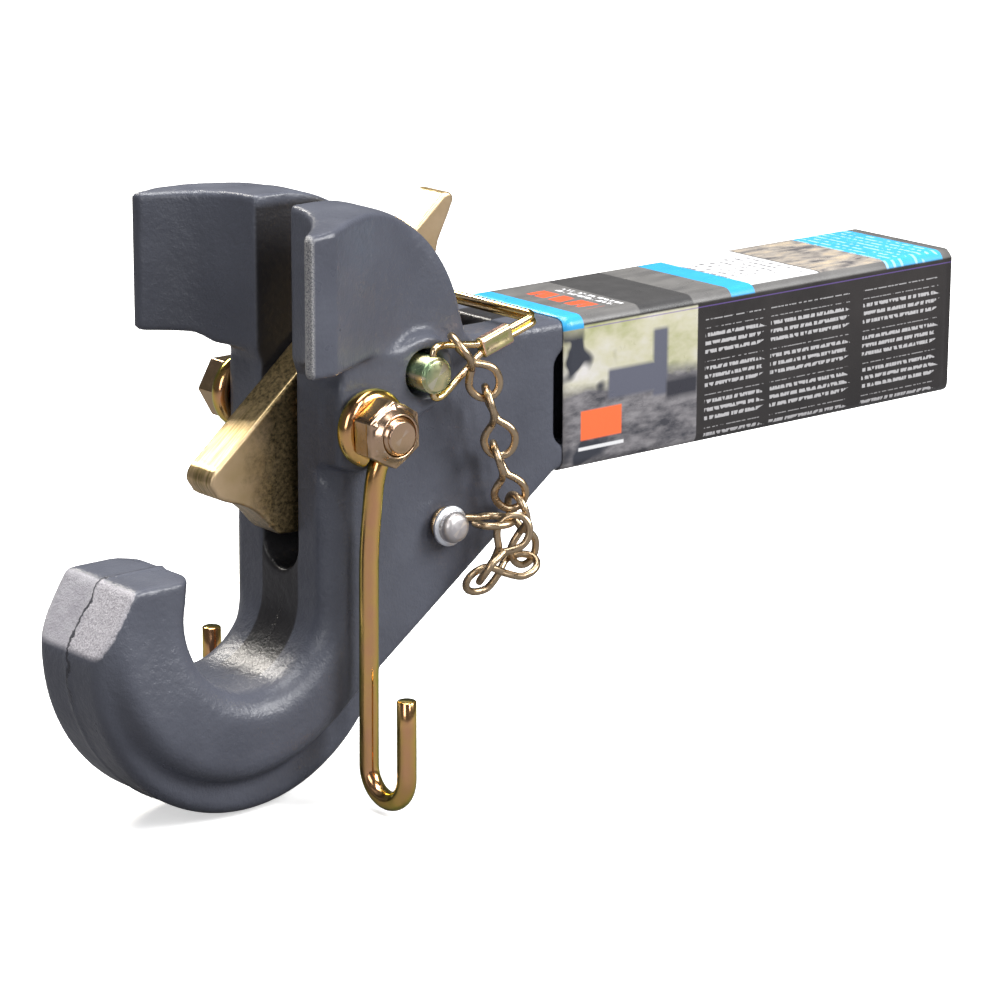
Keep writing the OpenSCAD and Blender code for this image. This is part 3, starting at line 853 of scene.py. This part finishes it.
def make_latch():
    step = 0.5
    low, high = LATCH_LOW - 2, LATCH_HIGH + 2
    side, x2, z2 = from_side(*grid(low, high, step))
    plate = polygon(x2, z2, [
        (-247.3, -9), (-216, 17.3), (-154.8, 69.0), (-151.0, 66.6), (-152.4, 63), (-157, 54),
        (-158.9, 46.2), (-160, 34), (-161, 20), (-164, 8), (-186, -14), (-202, -32),
        (-212, -34), (-222, -33.5), (-246.5, -17.5), (-248.9, -13)])
    nose, prong = circle(x2, z2, (-245, -12.4), 3.9), circle(x2, z2, (-153.2, 67.0), 2.3)
    plate = smooth_min(smooth_min(plate, nose, 0.8), prong, 0.6)
    plate = smooth_max(plate, -circle(x2, z2, (-246.3, -44.9), 25.2), 1.5)
    field = round_both(flat(plate), side - 7, 0.8)
    field = smooth_max(field, -flat(circle(x2, z2, PIVOT, 6.45)), 0.5)
    field = smooth_max(field, -flat(circle(x2, z2, PIN_AT, 6.8)), 0.5)
    points, quads = surface(field, low, step)
    settle(new_object("latch_plate", points, quads, LATCH, "latch", LATCH_ZINC), 2)


# ---- bolt and nut
HEX_FLAT = 19.05
HEX_REACH = np.array([12.5, 1.5, 12.5])
HEAD_HIGH = 8
THREAD_GAP = 0.15


def hex_block(low_y, high_y, step):
    """Sample points round a hexagon on the bolt's axis, with U and V measured from it."""
    low = np.array([PIVOT[0], low_y, PIVOT[1]]) - HEX_REACH
    high = np.array([PIVOT[0], high_y, PIVOT[1]]) + HEX_REACH
    x, y, z = grid(low, high, step)
    return low, x - PIVOT[0], y, z - PIVOT[1]


def hex_field(u, v, turned):
    """Signed distance to a hexagon, with flats at this angle and every sixty degrees on."""
    field = -HEX_FLAT
    for k in range(3):
        a = math.radians(60 * k + turned)
        field = np.maximum(field, np.abs(u * math.cos(a) + v * math.sin(a)) - HEX_FLAT / 2)
    return field


def make_nut():
    step, turned = 0.3, 3
    face, seat = NUT_LOW[1], NUT_HIGH[1]
    shoulder = face + 2.6
    low, u, y, v = hex_block(face, seat, step)
    radius = np.hypot(u, v)
    prism = round_both(hex_field(u, v, turned), np.maximum(shoulder - y, y - seat), 0.35)
    # corners turned off at both ends
    prism = np.maximum(prism, (radius - 10.7) * 0.8 - (y - shoulder) * 0.45)
    prism = np.maximum(prism, (radius - 10.6) * 0.8 + (y - seat) * 0.45)
    crown = (radius - 9.1) * 0.75 - (y - shoulder) * 0.62
    crown = np.maximum(np.maximum(crown, face - y), y - shoulder - 1.5)
    field = smooth_min(prism, crown, 0.8)
    # a small raised dot near each corner
    for k in range(6):
        a = math.radians(60 * k + 30 + turned)
        du, dv = u - 8.9 * math.cos(a), v - 8.9 * math.sin(a)
        dot = np.sqrt(du ** 2 + dv ** 2 + (y - shoulder - 0.1) ** 2) - 0.7
        field = smooth_min(field, dot, 0.5)
    field = smooth_max(field, BOLT_R + 0.12 - radius, 0.6)
    points, quads = surface(field, low, step)
    new_object("locking_nut", points, quads, HOOK, "pivot_nut", NUT_ZINC)


def make_bolt():
    """Turned shaft, and a hexagon head with its corners turned off."""
    end, top = BOLT_LOW[1], BOLT_HIGH[1]
    neck = top - HEAD_HIGH
    profile = [(end + 0.35, 0.01), (end + 0.3, 2.4), (end + 0.05, 4.4), (end, 4.9),
               (end + 0.15, 5.1), (end + 0.9, 5.25)]
    # rounded rings stand in for the thread
    y = end + 0.9
    while y < end + 13:
        profile += [(y + 0.30, 5.3), (y + 0.75, BOLT_R - 0.1), (y + 1, BOLT_R - 0.1)]
        y += 1 + THREAD_GAP
    profile += [(y + 0.6, BOLT_R), (neck + 1, BOLT_R), (neck + 1, 0.01)]
    points, faces = lathe(profile, PIVOT)
    new_object("bolt_shaft", points, faces, HOOK, "pivot_bolt", NUT_ZINC)
    step = 0.35
    low, u, y, v = hex_block(neck, top, step)
    field = round_both(hex_field(u, v, 30), np.maximum(neck - y, y - top), 0.5)
    field = np.maximum(field, (np.hypot(u, v) - 10.6) * 0.8 + (y - top) * 0.45)
    points, quads = surface(field, low, step)
    head = place("bolt_head", mesh_of("bolt_head", points, quads))
    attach(head, HOOK)
    head.data.materials.append(NUT_ZINC)


# ---- chain hangers
ROD_R = 3.175
EYE_R = BOLT_R + 0.07 + ROD_R
U_Z = -107
TIP_LEG_TOP = -80.8


def make_hanger(name, node, body, sign, eye_y, stem_y, u_r):
    """An eye round the bolt, a stem that hangs from it, and a U up to a short leg."""
    eye = ring_points(PIVOT, EYE_R, eye_y, range(252, -53, -7))
    leave = [eye[-1], (PIVOT[0] + 1.8, eye_y - 0.4, PIVOT[1] - 14),
             (PIVOT[0] + 0.3, stem_y, PIVOT[1] - 40), (PIVOT[0], stem_y, U_Z)]
    stem = bow(leave, 6, 8)
    turn = [(PIVOT[0], stem_y + u_r - u_r * math.cos(a), U_Z - u_r * math.sin(a))
            for a in np.linspace(0, math.pi, 25)]
    leg = [(PIVOT[0], stem_y + 2 * u_r, U_Z + (TIP_LEG_TOP - U_Z) * t) for t in (0.3, 0.65, 1)]
    path = [(p[0], sign * p[1], p[2]) for p in eye + stem[1:-1] + turn + leg]
    points, faces = tube(path, ROD_R, 28, end_round=0.35)
    new_object(name, points, faces, body, node, ROD_ZINC)


# ---- pin and bail
def make_pin():
    near, far = PIN_LOW[1] + 0.4, PIN_HIGH[1]
    profile = [(near, 0.01), (near, 4.75), (near + 0.12, 4.95), (near + 0.75, 5.5),
               (near + 0.95, 5.7), (near + 1.0, 5.85), (near + 1.15, PIN_R),
               (far - 1.1, PIN_R), (far - 0.2, 5.5), (far, 5.3), (far, 0.01)]
    points, faces = lathe(profile, PIN_AT)
    new_object("locking_pin", points, faces, PIN, "lock_pin", PIN_ZINC)


WIRE_R = 1.15
CROSS_Y = -34.8
BAIL_JOIN = (-162, 24)
BAIL_CORNER = (-139.5, 30.7)
BAIL_FAR_Y = 38.6
BAIL_SLOPE = math.radians(16.6)
BAIL_LOOP_R = 7.8


def bail_side(side):
    """Corner points of one of the bail's two wires, from the pin to the far side."""
    shift = side * (WIRE_R + 0.02)
    dx, dz = -math.sin(BAIL_SLOPE) * shift, math.cos(BAIL_SLOPE) * shift
    px, pz = PIN_AT
    out = 8.3 if side > 0 else -7.6
    hold = 9.2 if side > 0 else -7.9
    return [(px, CROSS_Y, pz + side * 3), (px, CROSS_Y, pz + out), (px + 3.5, CROSS_Y, pz + hold),
            (BAIL_JOIN[0] + dx, CROSS_Y, BAIL_JOIN[1] + dz),
            (BAIL_CORNER[0] + dx, CROSS_Y, BAIL_CORNER[1] + dz),
            (BAIL_CORNER[0] + dx, BAIL_FAR_Y, BAIL_CORNER[1] + dz)]


def make_bail():
    ring = ring_points(PIN_AT, BAIL_LOOP_R, BAIL_FAR_Y, range(95, 296, 10))
    upper = bow(bail_side(1) + [ring[0]], 2.5, 3.2)
    lower = bow(bail_side(-1) + [ring[-1]], 2.5, 3.2)
    points, faces = tube(upper[:-1] + ring + lower[::-1][1:], WIRE_R, 16, end_round=0.1)
    new_object("wire_bail", points, faces, BAIL, "pin_bail", WIRE_ZINC)


def make_ferrule():
    step, from_join = 0.25, 5.6
    half = np.array([12.5, 4.2, 6.8]) / 2
    x, y, z = grid(-half - 1, half + 1, step)
    # pressed in a little between the wires, and flared at its mouth
    waist = 0.35 * np.exp(-((z / 1.3) ** 2)) * ramp(np.abs(x), 6.5, 4)
    section = round_both(np.abs(y) - half[1] + waist, np.abs(z) - half[2], 1.5)
    points, quads = surface(round_both(section, np.abs(x) - half[0], 0.5), -half - 1, step)
    c, s = math.cos(BAIL_SLOPE), math.sin(BAIL_SLOPE)
    placed = np.stack([BAIL_JOIN[0] + (from_join + points[:, 0]) * c - points[:, 2] * s,
                       CROSS_Y + points[:, 1],
                       BAIL_JOIN[1] + (from_join + points[:, 0]) * s + points[:, 2] * c], 1)
    new_object("crimped_ferrule", placed, quads, BAIL, "bail_ferrule", FERRULE_ZINC)


# ---- tether chain
LINK_WIRE_R = 1.25
LOOP_R = 6.4
HALF_WIDE = 5.1
# middle, then bearing, rise and roll in degrees, as the CAD hangs them
LINKS = [
    ((-168.9, -38.8, 19.7), -10, -54, 11),
    ((-159.3, -38.2, -0.2), 11, -69, 41),
    ((-152.5, -35.0, -20.1), 10, -65, 42),
    ((-144.5, -33.7, -39.6), 16, -75, 20),
    ((-152.6, -33.5, -52.7), 164, -14, -26),
    ((-155.8, -37.6, -43.5), -34, 56, -12),
]


def link_path():
    """One bent wire: a loop in X and Y, a pinched waist, then a loop in X and Z."""
    pinch, waist_long, step = 1.05, 5.0, 9
    lobes = []
    for lobe in (-1, 1):
        path = []
        for a in range(0, 360, step):
            t = math.radians(a)
            x = LOOP_R * (1 - math.cos(t))
            lean = max(math.cos(t), 0)
            wide = HALF_WIDE * math.sin(t) * (1 - 0.45 * lean * lean)
            fade = max(0.0, 1 - x / waist_long)
            sign = 1 if wide > 0 or a == 0 else -1
            wide = sign * math.hypot(wide, pinch * fade)
            off = sign * pinch * fade
            path.append((-x, wide, off) if lobe < 0 else (x, off, wide))
        lobes.append(path)
    # the first lobe ends on its negative side, so the second is walked backwards
    return lobes[0][1:] + lobes[1][:0:-1]


def add_link(name, points, faces, node):
    """A link built where it hangs, fixed in the world and riding no body, that replaces a CAD node.
    """
    obj = place(name, mesh_of(name, points, faces))
    obj.data.materials.append(LINK_ZINC)
    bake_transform(obj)
    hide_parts(node)


def make_links():
    shape = link_path()
    for number, (middle, bearing, rise, roll) in enumerate(LINKS, 1):
        turn = (Matrix.Rotation(math.radians(bearing), 3, "Z")
                @ Matrix.Rotation(math.radians(-rise), 3, "Y")
                @ Matrix.Rotation(math.radians(roll), 3, "X"))
        path = [tuple(Vector(middle) + turn @ Vector(p)) for p in shape]
        points, faces = tube(path, LINK_WIRE_R, 16, closed=True)
        add_link(f"tether_link_{number}", points, faces, f"chain_link_{number}")


def make_end_link():
    """A loop under the washer, whose two ends run out into a level loop."""
    end_r = 4.6
    loop_y = -SHANK_HALF - 0.3 - LINK_WIRE_R
    small = [(RIVET_AT[0] + end_r * math.cos(a), loop_y + 0.5 * math.sin(a),
              RIVET_AT[1] + end_r * math.sin(a)) for a in np.radians(np.arange(18, 343, 9))]
    middle = (RIVET_AT[0] + end_r + 10, loop_y - LOOP_R, RIVET_AT[1])
    level = [(middle[0] + LOOP_R * math.cos(a), middle[1] + LOOP_R * math.sin(a), middle[2])
             for a in np.radians(np.arange(100, -206, -9))]
    upper = (RIVET_AT[0] + end_r + 2.5, loop_y + 0.1, RIVET_AT[1] + 1.2)
    lower = (RIVET_AT[0] + end_r + 2.8, loop_y - 0.4, RIVET_AT[1] - 0.8)
    path = bow([lower] + small[::-1] + [upper] + level, 1.5, 1.5)
    points, faces = tube(path, LINK_WIRE_R, 16)
    add_link("tether_end_link", points, faces, "chain_end_link")


def make_rivet():
    head, seat, foot = RIVET_LOW[1] + 1.0, WASHER_LOW[1], -SHANK_HALF + 10
    profile = [(head, 0.01), (head, 3.1), (head + 0.12, 3.35), (head + 0.6, 4.1), (head + 1.3, 4.7),
               (head + 2.1, 5.1), (head + 2.8, 5.2), (seat, 5.2), (seat, 3.0), (foot, 3.0),
               (foot, 0.01)]
    points, faces = lathe(profile, RIVET_AT, sides=56)
    new_object("drive_rivet", points, faces, HOOK, "tether_rivet", RIVET_STEEL)


def make_washer():
    low, high = WASHER_LOW[1], WASHER_HIGH[1]
    profile = [(low, 3.2), (low, 6.35), (low + 0.3, 6.68), (high - 0.15, 6.7), (high, 6.55),
               (high, 3.2), (low, 3.2)]
    points, faces = lathe(profile, RIVET_AT, sides=64)
    new_object("flat_washer", points, faces, HOOK, "tether_washer", WASHER_ZINC)


# ---- card sleeve
def make_sleeve():
    """Folded card: a thin square tube with round corners, its ends a touch uneven."""
    outer, thick, corner = SLEEVE_HIGH[1], 0.5, 3.9
    section = []
    for k in range(4):
        cy = (outer - corner) * (1 if k in (0, 3) else -1)
        cz = (outer - corner) * (1 if k in (0, 1) else -1)
        for a in np.radians(90 * k + np.arange(0, 91, 15)):
            ny, nz = math.cos(a), math.sin(a)
            section.append((cy + corner * ny, cz + corner * nz, ny, nz))
    n = len(section)
    stations = np.linspace(SLEEVE_LOW[0], SLEEVE_HIGH[0], 40)
    points, faces = [], []
    for i, sx in enumerate(stations):
        for j, (cy, cz, ny, nz) in enumerate(section):
            if i in (0, len(stations) - 1):
                uneven = abs(0.35 * math.sin(6.2 * math.pi * j / n + 1)) * (1 if i == 0 else -1)
            else:
                uneven = 0
            points.append((sx + uneven, cy, cz))
            points.append((sx + uneven, cy - thick * ny, cz - thick * nz))
    ring = 2 * n
    last = (len(stations) - 1) * ring
    for j in range(n):
        m = (j + 1) % n
        for a in range(0, last, ring):
            b = a + ring
            faces.append((a + 2 * m, b + 2 * m, b + 2 * j, a + 2 * j))
            faces.append((a + 2 * j + 1, b + 2 * j + 1, b + 2 * m + 1, a + 2 * m + 1))
        faces.append((2 * j + 1, 2 * m + 1, 2 * m, 2 * j))
        faces.append((last + 2 * j, last + 2 * m, last + 2 * m + 1, last + 2 * j + 1))
    new_object("printed_sleeve", points, faces, SLEEVE, "card_sleeve", CARD)


make_casting()
make_latch()
make_nut()
make_bolt()
make_hanger("near_hanger", "chain_hanger_near", NEAR, -1, eye_y=35.075, stem_y=33.1, u_r=9.7)
make_hanger("far_hanger", "chain_hanger_far", FAR, 1, eye_y=31.575, stem_y=31.2, u_r=10.6)
make_pin()
make_bail()
make_ferrule()
make_links()
make_end_link()
make_rivet()
make_washer()
make_sleeve()


# ---- floor and light
def add_floor():
    """White to the camera, but a darker studio floor in the metal's reflections."""
    data = bpy.data.meshes.new("floor")
    size, level = 6.0, -0.1215
    corners = ((-size, -size), (size, -size), (size, size), (-size, size))
    data.from_pydata([(x, y, level) for x, y in corners], [], [(0, 1, 2, 3)])
    floor = bpy.data.objects.new("floor", data)
    bpy.context.scene.collection.objects.link(floor)
    n = Nodes("floor")
    seen = n.add("ShaderNodeLightPath").outputs["Is Camera Ray"]
    n.finish(n.mix(seen, (0.14, 0.14, 0.15), (1.0, 1.0, 1.0)), 0.9)
    n.feed(n.mix(seen, (0.0, 0.0, 0.0), (1.0, 1.0, 1.0)), n.shader.inputs["Emission Color"])
    n.shader.inputs["Emission Strength"].default_value = 0.55
    floor.data.materials.append(n.material)


def add_light(name, at, size, power, colour=(1, 1, 1)):
    """A rectangular lamp that points at the middle of the hook."""
    data = bpy.data.lights.new(name, "AREA")
    data.shape = "RECTANGLE"
    data.size, data.size_y = size
    data.energy = power
    data.color = colour
    light = bpy.data.objects.new(name, data)
    bpy.context.scene.collection.objects.link(light)
    light.location = at
    light.rotation_euler = (Vector(AIM) - Vector(at)).to_track_quat("-Z", "Y").to_euler()


AIM = (-0.16, 0.0, -0.02)
add_floor()
add_light("key", (0.7, -1.35, 1.0), (0.8, 0.9), 38)
add_light("strip", (-0.25, -1.4, 0.8), (0.18, 0.9), 7)
add_light("front", (-1.5, -0.75, 0.5), (0.5, 0.8), 5)
add_light("top", (-0.25, 0.1, 1.4), (1.2, 0.8), 36)
add_light("throat_glow", (-0.2, 1.15, 0.95), (0.5, 0.35), 16, (1.0, 0.95, 0.87))



def add_world():
    """White behind the object, but dim as a light on it."""
    world = bpy.data.worlds.new("world")
    world.use_nodes = True
    tree = world.node_tree
    seen = tree.nodes.new("ShaderNodeLightPath")
    strength = tree.nodes.new("ShaderNodeMapRange")
    strength.inputs["To Min"].default_value = 0.08
    strength.inputs["To Max"].default_value = 1.1
    background = tree.nodes["Background"].inputs
    tree.links.new(seen.outputs["Is Camera Ray"], strength.inputs["Value"])
    tree.links.new(strength.outputs["Result"], background["Strength"])
    background["Color"].default_value = (1, 1, 1, 1)
    bpy.context.scene.world = world
    bpy.context.scene.view_settings.view_transform = "Standard"


add_world()
